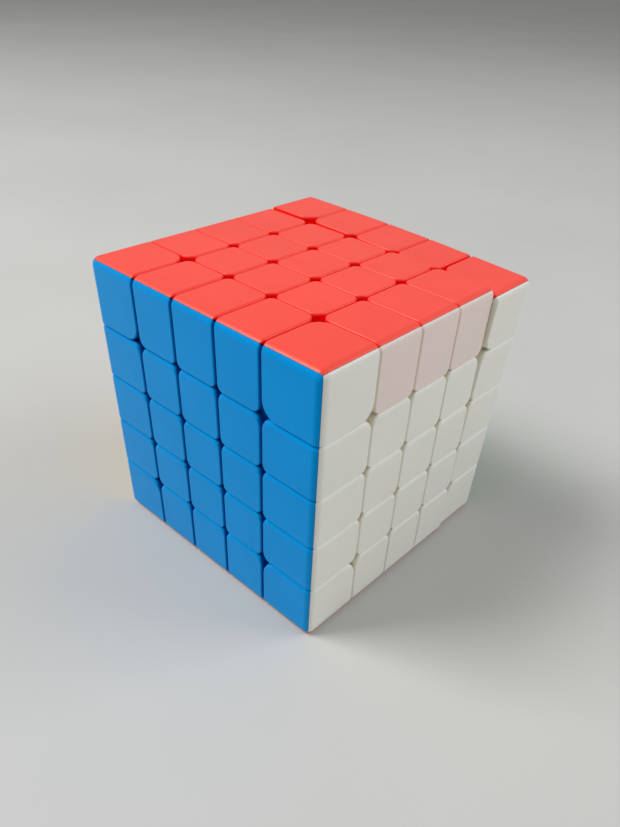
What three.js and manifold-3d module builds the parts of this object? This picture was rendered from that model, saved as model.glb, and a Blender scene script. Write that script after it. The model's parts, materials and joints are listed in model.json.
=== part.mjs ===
// Twisty puzzle cube with five layers along each axis. Millimetres, +Z up, underside at z = 0.
// Every piece is cut from one bevelled cube by layer cutters that are solids of revolution, so a layer can turn.
// Front is -Y, right is +X, top is +Z.
import * as THREE from "three";
import { mergeVertices } from "three/addons/utils/BufferGeometryUtils.js";
import Module from "manifold-3d";

const wasm = await Module();
wasm.setup();

// Driving dimensions
const EDGE = 62; // length of the cube's edge
const OUTER_SEAM = 17.2; // centre plane to the seam of an outer layer
const INNER_SEAM = 5.73; // centre plane to the seam of an inner layer
const SEAM_GAP = 0.3; // open width of a seam at the surface
const INSIDE_GAP = 0.5; // play between feet and the pieces over them
const EDGE_CHAMFER = 1.0; // bevel along the cube's own edges
const GROOVE_DEPTH = 0.8; // seams between pieces that never part in this model
const PIT_REACH = 2.6; // half diagonal of the pits at the inner corners of the corner pieces
const PIT_DEPTH = 1.2;
const CORNER_PROUD = 1.2; // the back right top corner stands out of the right face
const WING_PROUD = 0.6; // and so does the wing below it
const BACK_CORNER_PROUD = 0.6; // the back left top corner stands above the top face

// Mechanism: spherical zones around the centre, with a cone for the layer boundary in each
const CAP_RADIUS = 33.5; // outside this the boundary is the flat seam
const FOOT_RADIUS = 24; // corner and row feet live between this and the cap radius
const ROW_CAP_RADIUS = 28; // the inner seams become a cone inside this
const EDGE_FOOT_RADIUS = 18; // edge feet end here
const CORNER_SLOPE = 0.42; // cone of the corner feet, as height over radius
const EDGE_SLOPE = 0.3; // cone of the edge feet
const ROW_SLOPE = 0.1; // cone of the row feet
const CENTRE_START = 13.4; // inner end of the fixed centres

// Core, screws and springs
const CORE_RADIUS = 8;
const ARM_RADIUS = 3.3;
const ARM_END = 12.6;
const THREAD_BORE = 1.6;
const SCREW_RADIUS = 1.3;
const SCREW_START = 7;
const SHELF_TOP = 15.6;
const POCKET_RADIUS = 3.3;
const POCKET_TOP = 22.2;
const HEAD_RADIUS = 2.8;
const HEAD_BOTTOM = 20.2;
const HEAD_TOP = 21.8;
const SPRING_RADIUS = 2.35;
const WIRE_RADIUS = 0.33;
const SPRING_TURNS = 4;
const STEPS_PER_TURN = 8;

const SEGMENTS = 24; // facets around a layer cutter
const SMALL_SEGMENTS = 12; // facets around screws, arms and pockets
const FLATTEN = 0.002; // facets this close to one plane are joined
const FAR = 70; // beyond every surface of the cube
const HALF = EDGE / 2;

// Geometry helpers
function solid(geometry) {
  const bare = new THREE.BufferGeometry();
  const source = geometry.index ? geometry.toNonIndexed() : geometry;
  bare.setAttribute("position", source.getAttribute("position"));
  const merged = mergeVertices(bare, 1e-4);
  const made = new wasm.Manifold(
    new wasm.Mesh({
      numProp: 3,
      vertProperties: merged.attributes.position.array,
      triVerts: new Uint32Array(merged.index.array),
    }),
  );
  return made;
}

function box(low, high) {
  const size = new THREE.Vector3().subVectors(high, low);
  const geometry = new THREE.BoxGeometry(size.x, size.y, size.z);
  const middle = new THREE.Vector3().addVectors(low, high).multiplyScalar(0.5);
  return solid(geometry.translate(middle.x, middle.y, middle.z));
}

function slab(axis, low, high) {
  const from = new THREE.Vector3(-FAR, -FAR, -FAR);
  const to = new THREE.Vector3(FAR, FAR, FAR);
  from.setComponent(axis, low);
  to.setComponent(axis, high);
  return box(from, to);
}

// A solid of revolution about Z from a profile of [radius, height], lowest point first
function turned(profile, segments = SEGMENTS) {
  const points = profile.map(([radius, height]) => new THREE.Vector2(radius, height));
  return solid(new THREE.LatheGeometry(points, segments).rotateX(Math.PI / 2));
}

// The six directions that a face of the cube can look, as the matrix that turns +Z to it
const DIRECTIONS = {
  right: new THREE.Matrix4().makeRotationY(Math.PI / 2),
  left: new THREE.Matrix4().makeRotationY(-Math.PI / 2),
  back: new THREE.Matrix4().makeRotationX(-Math.PI / 2),
  front: new THREE.Matrix4().makeRotationX(Math.PI / 2),
  top: new THREE.Matrix4(),
  bottom: new THREE.Matrix4().makeRotationX(Math.PI),
};
const OPPOSITE = { right: "left", left: "right", back: "front", front: "back", top: "bottom", bottom: "top" };
const AXIS = { right: 0, left: 0, back: 1, front: 1, top: 2, bottom: 2 };

function facing(made, side) {
  return made.transform(DIRECTIONS[side].toArray());
}

// Points on a cone of the given slope at a radius from the centre, moved off the cone by a small distance
function onCone(radius, slope, off) {
  const angle = Math.asin(slope);
  return [
    radius * Math.cos(angle) - off * Math.sin(angle),
    radius * Math.sin(angle) + off * Math.cos(angle),
  ];
}

function atHeight(radius, height) {
  return [Math.sqrt(radius * radius - height * height), height];
}

// The boundary of an outer layer from the axis outwards. side is +1 for the layer above it, -1 for the rest.
function outerBoundary(side) {
  const seam = (side * SEAM_GAP) / 2;
  const inside = (side * INSIDE_GAP) / 2;
  return [
    [0, inside / Math.sqrt(1 - EDGE_SLOPE * EDGE_SLOPE)],
    onCone(FOOT_RADIUS - inside, EDGE_SLOPE, inside),
    onCone(FOOT_RADIUS - inside, CORNER_SLOPE, inside),
    onCone(CAP_RADIUS - inside, CORNER_SLOPE, inside),
    atHeight(CAP_RADIUS - inside, OUTER_SEAM + seam),
    [FAR, OUTER_SEAM + seam],
  ];
}

function outerLayer() {
  return turned([...outerBoundary(1), [FAR, FAR], [0, FAR]]);
}

function withoutOuterLayer() {
  return turned([[0, -FAR], [FAR, -FAR], ...outerBoundary(-1).reverse()]);
}

// The inner layer above the middle one. grow is -1 for the layer itself, +1 for the room that it needs.
function innerLayer(grow) {
  const seam = (grow * SEAM_GAP) / 2;
  const inside = (grow * INSIDE_GAP) / 2;
  const foot = FOOT_RADIUS - inside;
  const steps = [ROW_SLOPE, 0.2, 0.31, CORNER_SLOPE];
  const inner = steps.map((slope, i) => {
    const off = i === 0 ? -inside : i === steps.length - 1 ? inside : 0;
    return onCone(foot, slope, off);
  });
  return turned([
    inner[0],
    onCone(ROW_CAP_RADIUS + inside, ROW_SLOPE, -inside),
    atHeight(ROW_CAP_RADIUS + inside, INNER_SEAM - seam),
    [FAR, INNER_SEAM - seam],
    [FAR, OUTER_SEAM + seam],
    atHeight(CAP_RADIUS - inside, OUTER_SEAM + seam),
    onCone(CAP_RADIUS - inside, CORNER_SLOPE, inside),
    inner[3],
    inner[2],
    inner[1],
    inner[0],
  ]);
}

function rod(start, radius, end) {
  return turned([[0, start], [radius, start], [radius, end], [0, end]], SMALL_SEGMENTS);
}

function ball(radius) {
  return solid(new THREE.SphereGeometry(radius, SEGMENTS, 12).rotateX(Math.PI / 2));
}

// The cube's outer shape, bevelled along its twelve edges, with room for pieces that stand proud
function cubeShape(low, high) {
  let made = box(new THREE.Vector3(...low), new THREE.Vector3(...high));
  const middle = low.map((value, i) => (value + high[i]) / 2);
  const half = low.map((value, i) => (high[i] - value) / 2);
  for (let axis = 0; axis < 3; axis++) {
    const [u, v] = [(axis + 1) % 3, (axis + 2) % 3];
    const width = (half[u] + half[v] - EDGE_CHAMFER) * Math.SQRT2;
    const size = [width, width, width];
    size[axis] = 2 * FAR;
    const bevel = new THREE.BoxGeometry(...size);
    const turn = new THREE.Vector3().setComponent(axis, 1);
    bevel.applyMatrix4(new THREE.Matrix4().makeRotationAxis(turn, Math.PI / 4));
    bevel.translate(...middle);
    made = made.intersect(solid(bevel));
  }
  return made;
}

// Cutters that several pieces share
const outside = {};
const inside = {};
for (const side of Object.keys(DIRECTIONS)) {
  outside[side] = facing(outerLayer(), side);
  inside[side] = facing(withoutOuterLayer(), side);
}
const rowAbove = innerLayer(-1);
const rowBelow = facing(rowAbove, "bottom");
const roomAbove = innerLayer(1);
const roomBelow = facing(roomAbove, "bottom");
const cornerCore = ball(FOOT_RADIUS + INSIDE_GAP / 2);
const edgeCore = ball(EDGE_FOOT_RADIUS);
const plainCube = cubeShape([-HALF, -HALF, -HALF], [HALF, HALF, HALF]);

// Shallow seams on one axis for pieces that move as a group
function groovesAlong(axis) {
  const kept = HALF - GROOVE_DEPTH;
  const core = box(new THREE.Vector3(-kept, -kept, -kept), new THREE.Vector3(kept, kept, kept));
  const one = slab(axis, INNER_SEAM - SEAM_GAP / 2, INNER_SEAM + SEAM_GAP / 2);
  const two = slab(axis, -INNER_SEAM - SEAM_GAP / 2, -INNER_SEAM + SEAM_GAP / 2);
  return one.add(two).subtract(core);
}
const grooves = [0, 1, 2].map(groovesAlong);

// Diamond pits where a corner piece meets three others
function pitsOn(side) {
  const pits = [];
  for (const x of [-OUTER_SEAM, OUTER_SEAM]) {
    for (const y of [-OUTER_SEAM, OUTER_SEAM]) {
      const pit = new THREE.CylinderGeometry(PIT_REACH, PIT_REACH, 2 * PIT_DEPTH, 4).rotateX(Math.PI / 2);
      pits.push(solid(pit.translate(x, y, HALF)));
    }
  }
  return facing(wasm.Manifold.union(pits), side);
}
const pits = {};
for (const side of Object.keys(DIRECTIONS)) {
  pits[side] = pitsOn(side);
}

// Everything in the named outer layers and in no other outer layer
function cell(sides, shape = plainCube) {
  let made = shape;
  for (const side of Object.keys(DIRECTIONS)) {
    if (sides.includes(side)) {
      made = made.intersect(outside[side]).subtract(pits[side]);
    } else if (!sides.includes(OPPOSITE[side])) {
      made = made.intersect(inside[side]);
    }
  }
  return made;
}

// Pocket for the spring and the screw head, open to the core through the hole in its shelf
function screwPocket(side) {
  const pocket = turned(
    [
      [0, CENTRE_START - 1],
      [SCREW_RADIUS + 0.3, CENTRE_START - 1],
      [SCREW_RADIUS + 0.3, SHELF_TOP],
      [POCKET_RADIUS, SHELF_TOP],
      [POCKET_RADIUS, POCKET_TOP],
      [0, POCKET_TOP],
    ],
    SMALL_SEGMENTS,
  );
  return facing(pocket, side);
}

function centreBlock(side) {
  const ahead = facing(slab(2, CENTRE_START, FAR), side);
  return cell([side]).intersect(ahead).subtract(screwPocket(side));
}

function edgePiece(sides) {
  return cell(sides).subtract(edgeCore);
}

function cornerPiece(sides, shape = plainCube) {
  return cell(sides, shape).subtract(cornerCore);
}

// Core, screws and springs
function coreSpider() {
  let made = solid(new THREE.SphereGeometry(CORE_RADIUS, 16, 10));
  for (const side of Object.keys(DIRECTIONS)) {
    made = made.add(facing(rod(0, ARM_RADIUS, ARM_END), side));
  }
  for (const side of Object.keys(DIRECTIONS)) {
    made = made.subtract(facing(rod(SCREW_START - 1, THREAD_BORE, FAR), side));
  }
  return made;
}

function screw(side) {
  const shank = turned(
    [
      [0, SCREW_START],
      [SCREW_RADIUS, SCREW_START],
      [SCREW_RADIUS, HEAD_BOTTOM],
      [HEAD_RADIUS, HEAD_BOTTOM],
      [HEAD_RADIUS, HEAD_TOP - 0.4],
      [HEAD_RADIUS - 0.5, HEAD_TOP],
      [0, HEAD_TOP],
    ],
    SMALL_SEGMENTS,
  );
  const slotHalf = 0.35;
  const slotReach = 1.6;
  const floor = HEAD_TOP - 0.9;
  const along = box(new THREE.Vector3(-slotReach, -slotHalf, floor), new THREE.Vector3(slotReach, slotHalf, FAR));
  const across = box(new THREE.Vector3(-slotHalf, -slotReach, floor), new THREE.Vector3(slotHalf, slotReach, FAR));
  return facing(shank.subtract(along.add(across)), side);
}

// A round wire wound into a helix, with flat ends
function spring(side) {
  const around = 4;
  const steps = SPRING_TURNS * STEPS_PER_TURN;
  const low = SHELF_TOP + WIRE_RADIUS + 0.2;
  const rise = HEAD_BOTTOM - WIRE_RADIUS - 0.2 - low;
  const positions = [];
  for (let step = 0; step <= steps; step++) {
    const turn = (step / STEPS_PER_TURN) * 2 * Math.PI;
    for (let k = 0; k < around; k++) {
      const angle = (k / around) * 2 * Math.PI;
      const reach = SPRING_RADIUS + WIRE_RADIUS * Math.cos(angle);
      const height = low + (rise * step) / steps + WIRE_RADIUS * Math.sin(angle);
      positions.push(reach * Math.cos(turn), reach * Math.sin(turn), height);
    }
  }
  const faces = [];
  for (let step = 0; step < steps; step++) {
    for (let k = 0; k < around; k++) {
      const next = (k + 1) % around;
      const [a, b] = [step * around + k, step * around + next];
      const [c, d] = [a + around, b + around];
      faces.push(a, b, c, b, d, c);
    }
  }
  for (let k = 1; k < around - 1; k++) {
    faces.push(0, k + 1, k);
    faces.push(steps * around, steps * around + k, steps * around + k + 1);
  }
  const geometry = new THREE.BufferGeometry();
  geometry.setAttribute("position", new THREE.Float32BufferAttribute(positions, 3));
  geometry.setIndex(faces);
  const made = solid(geometry);
  return facing(made.volume() < 0 ? solid(flipped(geometry)) : made, side);
}

function flipped(geometry) {
  const index = Array.from(geometry.index.array);
  for (let i = 0; i < index.length; i += 3) {
    [index[i + 1], index[i + 2]] = [index[i + 2], index[i + 1]];
  }
  return geometry.clone().setIndex(index);
}

// Materials, one for each slot of the record
const plastic = (name, colour, roughness = 0.35) =>
  new THREE.MeshStandardMaterial({ name, color: colour, roughness, metalness: 0 });
const FACE_MATERIAL = {
  top: plastic("red_plastic", 0xe8382f),
  bottom: plastic("orange_plastic", 0xf07a1c),
  front: plastic("blue_plastic", 0x0a6fb8),
  back: plastic("green_plastic", 0x18a04a),
  right: plastic("white_plastic", 0xe9e9e4),
  left: plastic("yellow_plastic", 0xf2d21c),
};
const coreMaterial = plastic("core_plastic", 0x26282b, 0.5);
const steel = new THREE.MeshStandardMaterial({ name: "steel", color: 0xb8bcc2, roughness: 0.3, metalness: 1 });

const group = new THREE.Group();
group.name = "twisty_cube";

function place(name, made, material) {
  const mesh = made.asOriginal().simplify(FLATTEN).getMesh();
  const geometry = new THREE.BufferGeometry();
  const positions = new Float32Array(mesh.numVert * 3);
  for (let i = 0; i < mesh.numVert; i++) {
    positions.set(mesh.vertProperties.subarray(i * mesh.numProp, i * mesh.numProp + 3), i * 3);
  }
  geometry.setAttribute("position", new THREE.BufferAttribute(positions, 3));
  geometry.setIndex(new THREE.BufferAttribute(mesh.triVerts, 1));
  const flat = geometry.toNonIndexed();
  flat.computeVertexNormals();
  const part = new THREE.Mesh(flat, material);
  part.name = name;
  group.add(part);
}

// Hidden mechanism
place("core_spider", coreSpider(), coreMaterial);
for (const side of Object.keys(DIRECTIONS)) {
  place(`screw_${side}`, screw(side), steel);
  place(`spring_${side}`, spring(side), steel);
}

// Top and bottom keep their nine centres together
for (const side of ["top", "bottom"]) {
  const block = centreBlock(side).subtract(grooves[0]).subtract(grooves[1]);
  place(`centres_${side}`, block, FACE_MATERIAL[side]);
}

// The side faces part into three rows of centres
for (const side of ["right", "left", "back", "front"]) {
  const block = centreBlock(side).subtract(grooves[1 - AXIS[side]]);
  place(`centres_${side}_middle`, block.subtract(roomAbove).subtract(roomBelow), FACE_MATERIAL[side]);
  place(`centres_${side}_upper`, block.intersect(rowAbove), FACE_MATERIAL[side]);
  place(`centres_${side}_lower`, block.intersect(rowBelow), FACE_MATERIAL[side]);
}

// Edges around the top and bottom keep their three pieces together
for (const level of ["top", "bottom"]) {
  for (const side of ["right", "left", "back", "front"]) {
    const edge = edgePiece([level, side]).subtract(grooves[1 - AXIS[side]]);
    place(`edge_${level}_${side}`, edge, FACE_MATERIAL[side]);
  }
}

// Upright edges part into a middle piece and two wings
const proudWing = cubeShape([-HALF, -HALF, -HALF], [HALF + WING_PROUD, HALF, HALF]);
for (const depth of ["front", "back"]) {
  for (const side of ["right", "left"]) {
    const name = `${depth}_${side}`;
    const loose = name === "back_right";
    const edge = edgePiece([depth, side]);
    const upper = loose ? cell([depth, side], proudWing).subtract(edgeCore) : edge;
    place(`midge_${name}`, edge.subtract(roomAbove).subtract(roomBelow), FACE_MATERIAL[side]);
    place(`wing_upper_${name}`, upper.intersect(rowAbove), FACE_MATERIAL[side]);
    place(`wing_lower_${name}`, edge.intersect(rowBelow), FACE_MATERIAL[side]);
  }
}

// Corners, two of which sit proud as the loose pieces of a worn puzzle do
const proudRight = cubeShape([-HALF, -HALF, -HALF], [HALF + CORNER_PROUD, HALF, HALF]);
const proudTop = cubeShape([-HALF, -HALF, -HALF], [HALF, HALF, HALF + BACK_CORNER_PROUD]);
const LOOSE_CORNERS = { top_back_right: proudRight, top_back_left: proudTop };
for (const level of ["top", "bottom"]) {
  for (const depth of ["front", "back"]) {
    for (const side of ["right", "left"]) {
      const name = `${level}_${depth}_${side}`;
      const made = cornerPiece([level, depth, side], LOOSE_CORNERS[name]);
      place(`corner_${name}`, made, FACE_MATERIAL[level]);
    }
  }
}

group.position.z = HALF;

export default group;
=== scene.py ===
import itertools
import json
import math

import bmesh
import bpy
from mathutils import Euler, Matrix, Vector


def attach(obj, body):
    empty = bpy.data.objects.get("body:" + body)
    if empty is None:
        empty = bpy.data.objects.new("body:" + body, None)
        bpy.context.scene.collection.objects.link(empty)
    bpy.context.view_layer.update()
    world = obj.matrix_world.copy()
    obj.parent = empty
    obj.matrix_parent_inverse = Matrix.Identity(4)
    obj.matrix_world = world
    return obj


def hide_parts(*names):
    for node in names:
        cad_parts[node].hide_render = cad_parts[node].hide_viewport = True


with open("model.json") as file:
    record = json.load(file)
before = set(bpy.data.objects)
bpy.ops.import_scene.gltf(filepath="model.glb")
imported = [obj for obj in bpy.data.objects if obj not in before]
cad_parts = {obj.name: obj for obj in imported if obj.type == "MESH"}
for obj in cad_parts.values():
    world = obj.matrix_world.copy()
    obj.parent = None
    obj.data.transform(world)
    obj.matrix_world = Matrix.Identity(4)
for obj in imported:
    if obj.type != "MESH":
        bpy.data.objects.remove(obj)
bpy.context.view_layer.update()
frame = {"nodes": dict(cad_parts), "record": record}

# The cube, in millimetres from its centre, which is CENTRE_HEIGHT above the floor
MM = 0.001
HALF = 31.0
CENTRE_HEIGHT = 31.0
OUTER_SEAM = 17.2
INNER_SEAM = 5.73
CUTS = (-HALF, -OUTER_SEAM, -INNER_SEAM, INNER_SEAM, OUTER_SEAM, HALF)
LAST = 4  # index of the last of the five layers
LOW, HIGH = 0, 1  # the two ends of a cell along an axis

# Shells: the coloured skin of each small cube, in millimetres
SHELL_DEPTH = 5.0
EDGE_ROUND = 1.8  # rounding along the cube's own edges
EDGE_STEPS = 4
EDGE_ANGLE = 45  # degrees of the rounding that each of the two colours at an edge takes
EDGE_ARC = 1.0  # length in the unrolled outline that stands for that angle
SPLIT_INSET = 0.02  # share of the arc left open between two colours, and half of it down at the wall

# Seams, in millimetres
# The cubes rest on each other, so the level seams are closed and show the upper rim of each cube most
SEAM_BEVELS = ((0.45, 0.45), (0.4, 0.4), (0.3, 1.05))  # rounding at the (low, high) seam on X, Y and Z
SEAM_DROP = 0.65  # how far down the walls that rounding starts
SEAM_STEPS = 5
SEAM_GAPS = (0.3, 0.12, 0.08)  # open width of the seams across X, Y and Z
# Painted shade down the walls of a seam on X, Y and Z: where it starts, and where it is full
SEAM_SHADE_SPANS = ((0.0, 0.3), (0.0, 0.45), (0.3, 0.9))
DEEP = 0.9  # a ring of points lies this far down, where every tone is full
LEDGE = 1.6  # from here down a cell is square, which closes the pits at the crossings
LEDGE_RADIUS = 0.1
BOTTOM = 100.0  # depth that marks the underside of a shell

# Corner radii of a cell's outline, in millimetres
CORNER_STEPS = 7
BIG_RADIUS = 3.8  # the inner corner of a corner piece
NEAR_RADIUS = 2.2  # its neighbours at the same crossing
SMALL_RADIUS = 1.8  # every other crossing
BORDER_RADII = (0.5, 0.35, 0.3)  # where a seam across X, Y or Z runs out over the cube's edge
LEAST_RADIUS = 0.05  # the rounding of the seams leaves at least this much of a radius

# The back layer sits a little askew: how far its faces stand off, at the cube's edge
TURN = 0.95  # its top leans to +X, its left end rides up and its right end drops
LIFT = 0.1  # the whole top rides up by this much
SAG = 0.45  # the top drops by this much more towards both ends

# Loose pieces: new limits for single cells, as (layer x, layer y, layer z): {(axis, end): limit}
LOOSE = {
    (4, 4, 4): {(0, LOW): 17.5, (1, LOW): 17.4},
    (3, 4, 4): {(0, HIGH): 17.3},
}

# Gaps in millimetres that keep surfaces from lying in one plane
FOOT_GAP = 0.02
FLOOR_GAP = 0.02

# Limits for the work on the meshes
SHARP_ANGLE = 40  # edges that turn by more degrees than this are not shaded smooth
SHELL_SLACK = 1e-6  # millimetres from a cut within which a point of a shell counts as on it
FOOT_SLACK = 1e-4  # the same for a foot
WELD = 1e-6  # metres between points of a CAD solid that are one

# Pieces of the CAD model that stay as they are
MECHANISM = ("core", "screw", "spring")

SIDES = {
    "right": (0, 1),
    "left": (0, -1),
    "back": (1, 1),
    "front": (1, -1),
    "top": (2, 1),
    "bottom": (2, -1),
}
SIDE_SLOT = {
    "top": "red_plastic",
    "bottom": "orange_plastic",
    "front": "blue_plastic",
    "back": "green_plastic",
    "right": "white_plastic",
    "left": "yellow_plastic",
}

# Looks. Colours are linear. A noise is (scale per metre, detail), a bump is (strength, height in metres)
WHITE = (1.0, 1.0, 1.0)
DRIFT_NOISE = (90.0, 2.0)  # the slow change of tone on the plastic
HAZE_NOISE = (260.0, 4.0)  # the change of its shine
GRAIN_NOISE = (2600.0, 3.0)
GRAIN_BUMP = (0.12, 0.00003)
STREAK_NOISE = (1500.0, 4.0)
STREAK_BUMP = (0.2, 0.00002)
CLOUD_NOISE = (9.0, 5.0)  # the change of tone on the floor
TONE_SPAN = (0.35, 0.65)  # the part of a noise that makes a change of tone
SHINE_SPAN = (0.3, 0.7)  # the part of a noise that makes a change of shine
PLASTIC_IOR = 1.5
SOFT_RADIUS = (1.0, 0.8, 0.6)  # how far red, green and blue light spreads inside the white plastic
SOFT_SCALE = 0.0015
STEEL_TONES = ((0.42, 0.43, 0.45), (0.62, 0.63, 0.65))
STEEL_ROUGHNESS = (0.22, 0.4)
FLOOR_TONES = ((0.495, 0.495, 0.48), (0.52, 0.52, 0.505))
FLOOR_ROUGHNESS = 0.7

# Each plastic: its colour, a painted shade for down in its seams, and what differs from moulded_plastic's
# values
PLASTICS = {
    "red_plastic": dict(colour=(0.90, 0.075, 0.052), seam_shade=(0.90, 0.0, 0.0), gloss=(1.0, 0.6, 0.5)),
    "orange_plastic": dict(colour=(0.92, 0.20, 0.015), seam_shade=(0.80, 0.09, 0.0)),
    "blue_plastic": dict(
        colour=(0.0, 0.29, 0.73), seam_shade=(0.0, 0.09, 0.40), gloss=(0.0, 0.6, 1.0), reflection=0.2
    ),
    "green_plastic": dict(colour=(0.012, 0.42, 0.085), seam_shade=(0.0, 0.22, 0.03)),
    "white_plastic": dict(colour=(0.84, 0.84, 0.78), seam_shade=(0.84, 0.80, 0.66), shade=0.98, soft=0.1),
    # painted glow: a pink tint that stands in for red light from the top on white shells
    "white_painted_red_glow": dict(colour=(0.84, 0.71, 0.66), seam_shade=(0.84, 0.72, 0.60), shade=0.98, soft=0.1),
    "yellow_plastic": dict(colour=(0.88, 0.62, 0.015), seam_shade=(0.74, 0.42, 0.0)),
    "core_plastic": dict(
        colour=(0.022, 0.024, 0.027), seam_shade=(0.02, 0.02, 0.02), shade=0.8, roughness=(0.45, 0.55)
    ),
}

# Studio, in metres and watts
FLOOR_SIZE = 12.0
WORLD_STRENGTH = 0.34
LIGHTS = {
    "key": dict(place=(-0.48, -0.42, 0.84), size=0.45, power=8.9),
    "rim": dict(place=(0.58, 0.60, 0.56), size=0.6, power=4.0),
}

# Camera: its place is in millimetres from the cube's centre, its angles are in degrees
CAMERA_PLACE = (86.62, -95.65, 79.04)
CAMERA_ANGLES = (48.585, -2.602, 43.006)
LENS, SENSOR_WIDTH = 28.443, 36.0
SHIFT_X, SHIFT_Y = -0.00665, 0.12044
CLIP_START, CLIP_END = 0.005, 50.0


# Which CAD node a small cube belongs to

def word(index, low, middle, high):
    return {0: low, LAST: high}.get(index, middle)


def node_of(cell):
    x, y, z = cell
    side_x = word(x, "left", "", "right")
    side_y = word(y, "front", "", "back")
    level = word(z, "bottom", "", "top")
    row = {1: "lower", 2: "middle", 3: "upper"}.get(z)
    if level and side_x and side_y:
        return f"corner_{level}_{side_y}_{side_x}"
    if level and (side_x or side_y):
        return f"edge_{level}_{side_x or side_y}"
    if level:
        return f"centres_{level}"
    if side_x and side_y:
        kind = "midge" if row == "middle" else f"wing_{row}"
        return f"{kind}_{side_y}_{side_x}"
    return f"centres_{side_x or side_y}_{row}"


def sides_of(cell):
    found = []
    for side, (axis, sign) in SIDES.items():
        if cell[axis] == (LAST if sign > 0 else 0):
            found.append(side)
    return found


CELLS = [cell for cell in itertools.product(range(LAST + 1), repeat=3) if sides_of(cell)]
BODY_OF = {}
for body_name, members in frame["record"]["behaviour"]["bodies"].items():
    for member in members:
        BODY_OF[member] = body_name


# Materials

def new_material(name):
    material = bpy.data.materials.new(name)
    material.use_nodes = True
    tree = material.node_tree
    return material, tree, tree.nodes["Principled BSDF"]


def noise(tree, scale, detail):
    place = tree.nodes.new("ShaderNodeTexCoord")
    made = tree.nodes.new("ShaderNodeTexNoise")
    made.inputs["Scale"].default_value = scale
    made.inputs["Detail"].default_value = detail
    tree.links.new(place.outputs["Object"], made.inputs["Vector"])
    return made.outputs["Fac"]


def tone_between(tree, source, low, high):
    made = tree.nodes.new("ShaderNodeValToRGB")
    for element, position, colour in zip(made.color_ramp.elements, TONE_SPAN, (low, high)):
        element.position = position
        element.color = (*colour, 1.0)
    tree.links.new(source, made.inputs["Fac"])
    return made.outputs["Color"]


def paint_shade_down_seams(tree, source, seam_shade):
    """The source colour, and a painted shade colour down the seams, where the shell's mesh says so."""
    down = tree.nodes.new("ShaderNodeAttribute")
    down.attribute_name = "painted_seam_shade"
    mixed = tree.nodes.new("ShaderNodeMix")
    mixed.data_type = "RGBA"
    mixed.inputs["B"].default_value = (*seam_shade, 1.0)
    tree.links.new(down.outputs["Fac"], mixed.inputs["Factor"])
    tree.links.new(source, mixed.inputs["A"])
    return mixed.outputs["Result"]


def shine_between(tree, shader, source, roughness):
    made = tree.nodes.new("ShaderNodeMapRange")
    made.inputs["From Min"].default_value, made.inputs["From Max"].default_value = SHINE_SPAN
    made.inputs["To Min"].default_value, made.inputs["To Max"].default_value = roughness
    tree.links.new(source, made.inputs["Value"])
    tree.links.new(made.outputs["Result"], shader.inputs["Roughness"])


def bump(tree, shader, source, strength, height):
    made = tree.nodes.new("ShaderNodeBump")
    made.inputs["Strength"].default_value = strength
    made.inputs["Distance"].default_value = height
    tree.links.new(source, made.inputs["Height"])
    tree.links.new(made.outputs["Normal"], shader.inputs["Normal"])


def moulded_plastic(
    name, colour, seam_shade, shade=0.95, roughness=(0.3, 0.38), soft=0.0, gloss=WHITE, reflection=0.45
):
    """Coloured plastic from a polished mould: a slow drift of tone, a painted shade down in the seams,
    a faint grain and a satin shine."""
    material, tree, shader = new_material(name)
    darker = tuple(share * shade for share in colour)
    tone = tone_between(tree, noise(tree, *DRIFT_NOISE), darker, colour)
    # the base colour carries a painted shade down the seams
    tree.links.new(paint_shade_down_seams(tree, tone, seam_shade), shader.inputs["Base Color"])
    shine_between(tree, shader, noise(tree, *HAZE_NOISE), roughness)
    bump(tree, shader, noise(tree, *GRAIN_NOISE), *GRAIN_BUMP)
    shader.inputs["IOR"].default_value = PLASTIC_IOR
    shader.inputs["Specular IOR Level"].default_value = reflection
    shader.inputs["Specular Tint"].default_value = (*gloss, 1.0)
    if soft:
        shader.inputs["Subsurface Weight"].default_value = soft
        shader.inputs["Subsurface Radius"].default_value = SOFT_RADIUS
        shader.inputs["Subsurface Scale"].default_value = SOFT_SCALE
    return material


def brushed_steel(name):
    material, tree, shader = new_material(name)
    shader.inputs["Metallic"].default_value = 1.0
    streaks = noise(tree, *STREAK_NOISE)
    tree.links.new(tone_between(tree, streaks, *STEEL_TONES), shader.inputs["Base Color"])
    shine_between(tree, shader, streaks, STEEL_ROUGHNESS)
    bump(tree, shader, streaks, *STREAK_BUMP)
    return material


def floor_paint(name):
    material, tree, shader = new_material(name)
    clouds = noise(tree, *CLOUD_NOISE)
    tree.links.new(tone_between(tree, clouds, *FLOOR_TONES), shader.inputs["Base Color"])
    shader.inputs["Roughness"].default_value = FLOOR_ROUGHNESS
    return material


MATERIALS = {name: moulded_plastic(name, **look) for name, look in PLASTICS.items()}
MATERIALS["steel"] = brushed_steel("steel")


# Mesh work that shells and feet share

def in_frame(point):
    return Vector((point.x, point.y, point.z + CENTRE_HEIGHT)) * MM


def cut(bm, axis, place, slack, sign=1, clear=False):
    """Cuts a mesh across one axis. With clear, what lies beyond the cut goes."""
    point, normal = Vector((0, 0, 0)), Vector((0, 0, 0))
    point[axis] = place
    normal[axis] = sign
    geometry = bm.verts[:] + bm.edges[:] + bm.faces[:]
    made = bmesh.ops.bisect_plane(
        bm, geom=geometry, dist=slack, plane_co=point, plane_no=normal, clear_outer=clear
    )
    return made["geom_cut"]


def finished_mesh(bm, name):
    bmesh.ops.recalc_face_normals(bm, faces=bm.faces[:])
    sharp = math.radians(SHARP_ANGLE)
    for edge in bm.edges:
        edge.smooth = edge.calc_face_angle(0.0) < sharp
    for face in bm.faces:
        face.smooth = True
    mesh = bpy.data.meshes.new(name)
    bm.to_mesh(mesh)
    bm.free()
    return mesh


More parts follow.
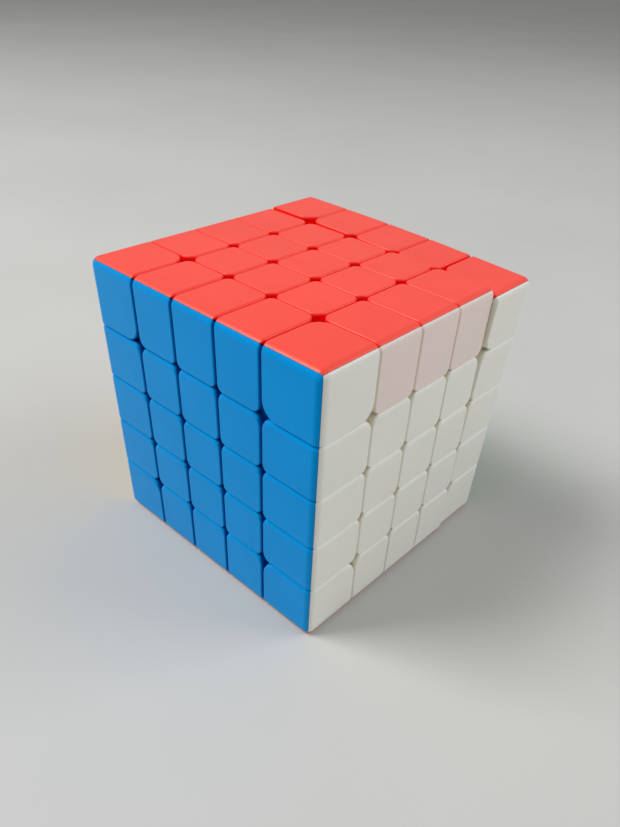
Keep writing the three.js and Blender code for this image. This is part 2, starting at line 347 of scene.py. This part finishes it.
def add_piece(name, mesh, slot, node, look=None):
    piece = bpy.data.objects.new(name, mesh)
    bpy.context.scene.collection.objects.link(piece)
    mesh.materials.append(MATERIALS[look or slot])
    weigh = piece.modifiers.new("weighted_normals", "WEIGHTED_NORMAL")
    weigh.keep_sharp = True
    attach(piece, BODY_OF[node])
    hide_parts(node)


# Shells. Each is drawn unrolled first, as (u, v) with its depth below the face as -Z, and then bent

def limits_of(cell):
    """The cell's lowest and highest coordinate on each axis."""
    limits = [[CUTS[index], CUTS[index + 1]] for index in cell]
    for (axis, end), value in LOOSE.get(cell, {}).items():
        limits[axis][end] = value
    return limits


def corner_radius(cell, axes, ends):
    """The radius of one corner of a cell's outline, or 0 where two of the cube's own edges meet."""
    at_border = [cell[axis] == (LAST if end else 0) for axis, end in zip(axes, ends)]
    if all(at_border):
        return 0.0
    if any(at_border):
        return BORDER_RADII[axes[at_border.index(False)]]
    # the cut at each end, counted from the cube's low side: the first and the last are outer seams
    cuts = [cell[axis] + end for axis, end in zip(axes, ends)]
    if any(number not in (1, LAST) for number in cuts):
        return SMALL_RADIUS
    is_corner = all(cell[axis] in (0, LAST) for axis in axes)
    return BIG_RADIUS if is_corner else NEAR_RADIUS


def flat_limits(axes, limits, outer):
    """The limits of a shell's flat part, which ends where the rounding at the cube's edge starts."""
    flat = []
    for axis, (at_low, at_high) in zip(axes, outer):
        low, high = limits[axis]
        flat.append((low + EDGE_ROUND if at_low else low, high - EDGE_ROUND if at_high else high))
    return flat


def outline(bounds, radii):
    """Points round a rectangle with four corner radii, as (u, v), starting at the high corner."""
    (u0, u1), (v0, v1) = bounds
    corners = ((u1, v1, 1, 1), (u0, v1, -1, 1), (u0, v0, -1, -1), (u1, v0, 1, -1))
    points = []
    for number, (u, v, su, sv) in enumerate(corners):
        radius = radii[number]
        if radius == 0.0:
            points.append((u, v))
            continue
        centre = (u - su * radius, v - sv * radius)
        for step in range(CORNER_STEPS + 1):
            angle = math.radians(90 * number + 90 * step / CORNER_STEPS)
            points.append((centre[0] + radius * math.cos(angle), centre[1] + radius * math.sin(angle)))
    return points


def seam_level(axes, flat, outer, radii, step):
    """The outline at one step of the rounding into the seams, and how far down it lies."""
    angle = math.radians(90 * step / SEAM_STEPS)
    shrink = 1 - math.sin(angle)
    split = SPLIT_INSET * (2.0 - step / SEAM_STEPS) / 2
    reach = EDGE_ARC * (1 - split)
    bounds = []
    for axis, (low, high), (at_low, at_high) in zip(axes, flat, outer):
        gap = SEAM_GAPS[axis] / 2
        bevel_low, bevel_high = SEAM_BEVELS[axis]
        bounds.append((
            low - reach if at_low else low + gap + bevel_low * shrink,
            high + reach if at_high else high - gap - bevel_high * shrink,
        ))
    smaller = [max(radius - SEAM_DROP * shrink, LEAST_RADIUS) if radius else 0.0 for radius in radii]
    return outline(bounds, smaller), SEAM_DROP * (1 - math.cos(angle))


def shell_levels(cell, axes, flat, outer):
    """The outlines of a shell from its face to its underside, each with how far down it lies."""
    ends = ((HIGH, HIGH), (LOW, HIGH), (LOW, LOW), (HIGH, LOW))
    radii = [corner_radius(cell, axes, pair) for pair in ends]
    levels = [seam_level(axes, flat, outer, radii, step) for step in range(SEAM_STEPS + 1)]
    wall = levels[-1][0]
    ledge_radii = [min(radius, LEDGE_RADIUS) for radius in radii]
    square = seam_level(axes, flat, outer, ledge_radii, SEAM_STEPS)[0]
    return levels + [(wall, DEEP), (wall, LEDGE), (square, LEDGE), (square, BOTTOM)]


def closed_stack(levels):
    """A closed mesh through outlines that all have the same number of points."""
    bm = bmesh.new()
    rings = [[bm.verts.new((u, v, -down)) for u, v in points] for points, down in levels]
    count = len(rings[0])
    bm.faces.new(rings[0])
    bm.faces.new(rings[-1])
    for upper, lower in zip(rings, rings[1:]):
        for i in range(count):
            j = (i + 1) % count
            bm.faces.new((upper[i], upper[j], lower[j], lower[i]))
    return bm


def part_roundings(bm, flat, outer):
    """Cuts the strips that bend over the cube's edges into steps."""
    for number in range(2):
        for end, direction in ((LOW, -1), (HIGH, 1)):
            if not outer[number][end]:
                continue
            for step in range(EDGE_STEPS):
                place = flat[number][end] + direction * EDGE_ARC * step / EDGE_STEPS
                cut(bm, number, place, SHELL_SLACK)


def painted_shade_share(axes, limits, point):
    """How much of the painted seam shade shows at an unrolled point. The nearest seam decides."""
    reach = []
    for number, axis in enumerate(axes):
        low, high = limits[axis]
        reach.append(abs(2 * point[number] - low - high) / (high - low))
    start, end = SEAM_SHADE_SPANS[axes[reach.index(max(reach))]]
    return min(max((-point.z - start) / (end - start), 0.0), 1.0)


def bent(axes, axis, sign, flat, unrolled):
    """Where an unrolled point lies on the cube, whose own edges are round."""
    base, direction = Vector((0, 0, 0)), Vector((0, 0, 0))
    for number, other in enumerate(axes):
        base[other] = min(max(unrolled[number], flat[number][LOW]), flat[number][HIGH])
        angle = math.radians(EDGE_ANGLE) * (unrolled[number] - base[other]) / EDGE_ARC
        direction[other] = math.tan(angle)
    base[axis] = sign * (HALF - EDGE_ROUND)
    direction[axis] = sign
    down = -unrolled.z
    if down > BOTTOM / 2:
        return base + direction * (EDGE_ROUND - SHELL_DEPTH)
    return base + direction.normalized() * (EDGE_ROUND - down)


def askew(cell, point):
    """Where a point lies once the back layer sits askew. The seams of the turning slices stay."""
    if cell[1] != LAST:
        return point
    across, up = point.x / HALF, point.z / HALF
    outer = (abs(point.x) - OUTER_SEAM) / (HALF - OUTER_SEAM)
    inner = (OUTER_SEAM - abs(point.x)) / (OUTER_SEAM - INNER_SEAM)
    # below its middle the layer leans the other way by half as much, but not out over the left side
    lean = TURN * max(up, up / 2) * min(max(outer, inner), 1.0)
    if point.x < -OUTER_SEAM:
        lean = max(lean, 0.0)
    near_top = max((point.z - OUTER_SEAM) / (HALF - OUTER_SEAM), 0.0)
    rise = (LIFT - TURN * across - SAG * across ** 2) * near_top
    return point + Vector((lean, 0, rise))


def shell_mesh(name, cell, side):
    """A closed shell for one side of one small cube."""
    axis, sign = SIDES[side]
    axes = [other for other in range(3) if other != axis]
    limits = limits_of(cell)
    outer = [(cell[other] == 0, cell[other] == LAST) for other in axes]
    flat = flat_limits(axes, limits, outer)
    bm = closed_stack(shell_levels(cell, axes, flat, outer))
    part_roundings(bm, flat, outer)
    # each point carries its share of the painted shade down the seams
    depth = bm.verts.layers.float.new("painted_seam_shade")
    for vert in bm.verts:
        vert[depth] = painted_shade_share(axes, limits, vert.co)
        vert.co = in_frame(askew(cell, bent(axes, axis, sign, flat, vert.co)))
    return finished_mesh(bm, name)


def add_shells():
    """One shell for each visible side of each of the 98 small cubes."""
    numbers = {}
    for cell in CELLS:
        node = node_of(cell)
        numbers[node] = numbers.get(node, 0) + 1
        for side in sides_of(cell):
            name = f"{node}_{numbers[node]}_{side}_shell"
            # painted glow: a pink tint on these three thin white shells stands in for red light from the
            # top showing through them
            look = "white_painted_red_glow" if (node, side) == ("edge_top_right", "right") else None
            add_piece(name, shell_mesh(name, cell, side), SIDE_SLOT[side], node, look)


# Feet: what is left of a CAD piece under its shells

def foot_mesh(name, node):
    """A CAD piece without its skin. Even the back layer's feet are straight, so that every slice turns."""
    cell = next(cell for cell in CELLS if node_of(cell) == node)
    bm = bmesh.new()
    bm.from_mesh(frame["nodes"][node].data)
    bmesh.ops.remove_doubles(bm, verts=bm.verts[:], dist=WELD)
    for vert in bm.verts:
        vert.co = vert.co / MM - Vector((0, 0, CENTRE_HEIGHT))
    for side in sides_of(cell):
        axis, sign = SIDES[side]
        place = sign * (HALF - SHELL_DEPTH - FOOT_GAP)
        items = cut(bm, axis, place, FOOT_SLACK, sign, clear=True)
        edges = [item for item in items if isinstance(item, bmesh.types.BMEdge)]
        bmesh.ops.holes_fill(bm, edges=edges, sides=0)
    for vert in bm.verts:
        vert.co = in_frame(vert.co)
    return finished_mesh(bm, name)


def foot_slot(node):
    """The slot of a CAD piece, which its material is named after."""
    return frame["nodes"][node].data.materials[0].name.split(".")[0]


def add_feet():
    for node in sorted(frame["nodes"]):
        if not node.startswith(MECHANISM):
            name = f"{node}_foot"
            slot = foot_slot(node)
            add_piece(name, foot_mesh(name, node), slot, node)


def paint_mechanism():
    for node, piece in frame["nodes"].items():
        if node.startswith(MECHANISM):
            slot = "core_plastic" if node.startswith("core") else "steel"
            for place in piece.material_slots:
                place.material = MATERIALS[slot]


# Floor, lights and camera

def add_floor():
    bpy.ops.mesh.primitive_plane_add(size=FLOOR_SIZE)
    floor = bpy.context.object
    floor.location.z = -FLOOR_GAP * MM
    floor.name = "floor"
    floor.data.materials.append(floor_paint("floor"))


def add_world_light():
    world = bpy.data.worlds.new("studio")
    bpy.context.scene.world = world
    world.use_nodes = True
    background = world.node_tree.nodes["Background"]
    background.inputs["Color"].default_value = (*WHITE, 1.0)
    background.inputs["Strength"].default_value = WORLD_STRENGTH


def add_area_light(name, place, size, power):
    """A square lamp that faces the cube's centre."""
    data = bpy.data.lights.new(name, "AREA")
    data.size = size
    data.energy = power
    light = bpy.data.objects.new(name, data)
    light.location = place
    towards = Vector((0, 0, CENTRE_HEIGHT * MM)) - light.location
    light.rotation_euler = towards.to_track_quat("-Z", "Y").to_euler()
    bpy.context.scene.collection.objects.link(light)


def add_camera():
    data = bpy.data.cameras.new("camera")
    data.sensor_width = SENSOR_WIDTH
    data.lens = LENS
    data.shift_x = SHIFT_X
    data.shift_y = SHIFT_Y
    data.clip_start = CLIP_START
    data.clip_end = CLIP_END
    camera = bpy.data.objects.new("camera", data)
    camera.location = in_frame(Vector(CAMERA_PLACE))
    camera.rotation_euler = Euler([math.radians(angle) for angle in CAMERA_ANGLES])
    bpy.context.scene.collection.objects.link(camera)
    bpy.context.scene.camera = camera


bpy.context.scene.view_settings.view_transform = "Standard"
add_camera()
add_shells()
add_feet()
paint_mechanism()
add_floor()
add_world_light()
for light_name, light_values in LIGHTS.items():
    add_area_light(light_name, **light_values)
